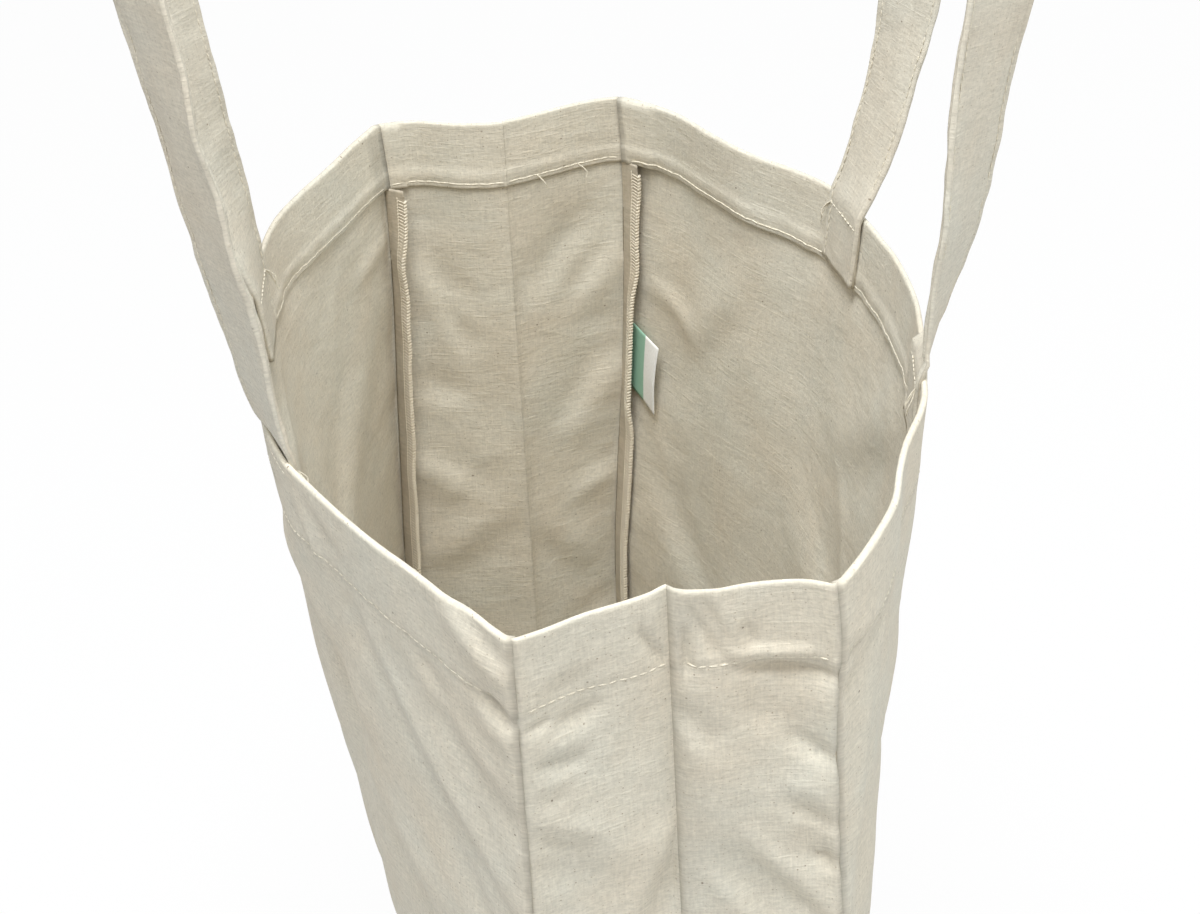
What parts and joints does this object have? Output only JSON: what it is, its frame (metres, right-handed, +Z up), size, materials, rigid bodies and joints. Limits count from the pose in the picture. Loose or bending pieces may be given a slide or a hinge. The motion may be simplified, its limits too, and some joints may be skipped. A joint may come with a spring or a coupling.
{
  "type": "cotton tote bag",
  "caption": "Unbleached cotton shopping bag with folding side gussets, a turned hem and two long flat handles, standing open.",
  "frame": {"origin": "centre of the base, on the surface the bag stands on", "axes": "+Z up to the mouth, +X across the bag's width to its right gusset, +Y to the back panel"},
  "size_m": [0.38, 0.3348, 0.7164],
  "materials": {
    "bag_cloth": "plain-woven unbleached cotton, matt, with small dark flecks and slubs",
    "strap_cloth": "the bag's own cotton folded to four layers and stitched along its edge",
    "stitching": "cream cotton sewing thread",
    "overlocked_seam": "raw cloth edge bound with cream overlock thread",
    "label_tape": "smooth white woven tape, bare apart from a plain green band"
  },
  "bodies": {
    "back_side": {"back_panel": "bag_cloth", "bottom_panel": "bag_cloth", "back_hem_thread": "stitching", "back_bottom_seam": "overlocked_seam", "back_handle_left_end": "strap_cloth", "back_handle_left_tack": "stitching", "back_handle_right_end": "strap_cloth", "back_handle_right_tack": "stitching"},
    "front_side": {"front_panel": "bag_cloth", "front_hem_thread": "stitching", "front_bottom_seam": "overlocked_seam", "front_handle_left_end": "strap_cloth", "front_handle_left_tack": "stitching", "front_handle_right_end": "strap_cloth", "front_handle_right_tack": "stitching"},
    "front_handle": {"front_handle_strap": "strap_cloth"},
    "back_handle": {"back_handle_strap": "strap_cloth"},
    "care_label": {"care_label": "label_tape"},
    "left_gusset_front": {"left_gusset_front_half": "bag_cloth", "left_gusset_front_hem_thread": "stitching", "front_left_corner_seam": "overlocked_seam"},
    "left_gusset_back": {"left_gusset_back_half": "bag_cloth", "left_gusset_back_hem_thread": "stitching", "back_left_corner_seam": "overlocked_seam"},
    "right_gusset_front": {"right_gusset_front_half": "bag_cloth", "right_gusset_front_hem_thread": "stitching", "front_right_corner_seam": "overlocked_seam"},
    "right_gusset_back": {"right_gusset_back_half": "bag_cloth", "right_gusset_back_hem_thread": "stitching", "back_right_corner_seam": "overlocked_seam"}
  },
  "joints": [
    {"name": "gusset_fold", "type": "hinge", "parent": "back_side", "child": "right_gusset_back", "pos_m": [0.18775, 0.04629, 0], "axis": [0.0321, 0, -0.9995], "range_deg": [-12, 66]},
    {"name": "right_crease_fold", "type": "hinge", "parent": "right_gusset_back", "child": "right_gusset_front", "pos_m": [0.17883, 0, 0], "axis": [0.0321, 0, -0.9995], "range_deg": [-132, 24]},
    {"name": "front_side_fold", "type": "hinge", "parent": "right_gusset_front", "child": "front_side", "pos_m": [0.18775, -0.04629, 0], "axis": [0.0321, 0, -0.9995], "range_deg": [-12, 66]},
    {"name": "left_gusset_fold", "type": "hinge", "parent": "back_side", "child": "left_gusset_back", "pos_m": [-0.18775, 0.04629, 0], "axis": [-0.0321, 0, -0.9995], "range_deg": [-66, 12]},
    {"name": "left_crease_fold", "type": "hinge", "parent": "left_gusset_back", "child": "left_gusset_front", "pos_m": [-0.17883, 0, 0], "axis": [-0.0321, 0, -0.9995], "range_deg": [-24, 132]},
    {"name": "front_handle_swing", "type": "hinge", "parent": "front_side", "child": "front_handle", "pos_m": [0, -0.10686, 0.42], "axis": [1, 0, 0], "range_deg": [-17, 165]},
    {"name": "back_handle_swing", "type": "hinge", "parent": "back_side", "child": "back_handle", "pos_m": [0, 0.10686, 0.42], "axis": [-1, 0, 0], "range_deg": [-17, 165]},
    {"name": "label_flap", "type": "hinge", "parent": "back_side", "child": "care_label", "pos_m": [-0.18775, 0.04629, 0], "axis": [-0.0321, 0, -0.9995], "range_deg": [-8, 14]}
  ],
  "couplings": [
    {"joint": "right_crease_fold", "follows": "gusset_fold", "ratio": -2},
    {"joint": "front_side_fold", "follows": "gusset_fold", "ratio": 1},
    {"joint": "left_gusset_fold", "follows": "gusset_fold", "ratio": -1},
    {"joint": "left_crease_fold", "follows": "gusset_fold", "ratio": 2}
  ]
}
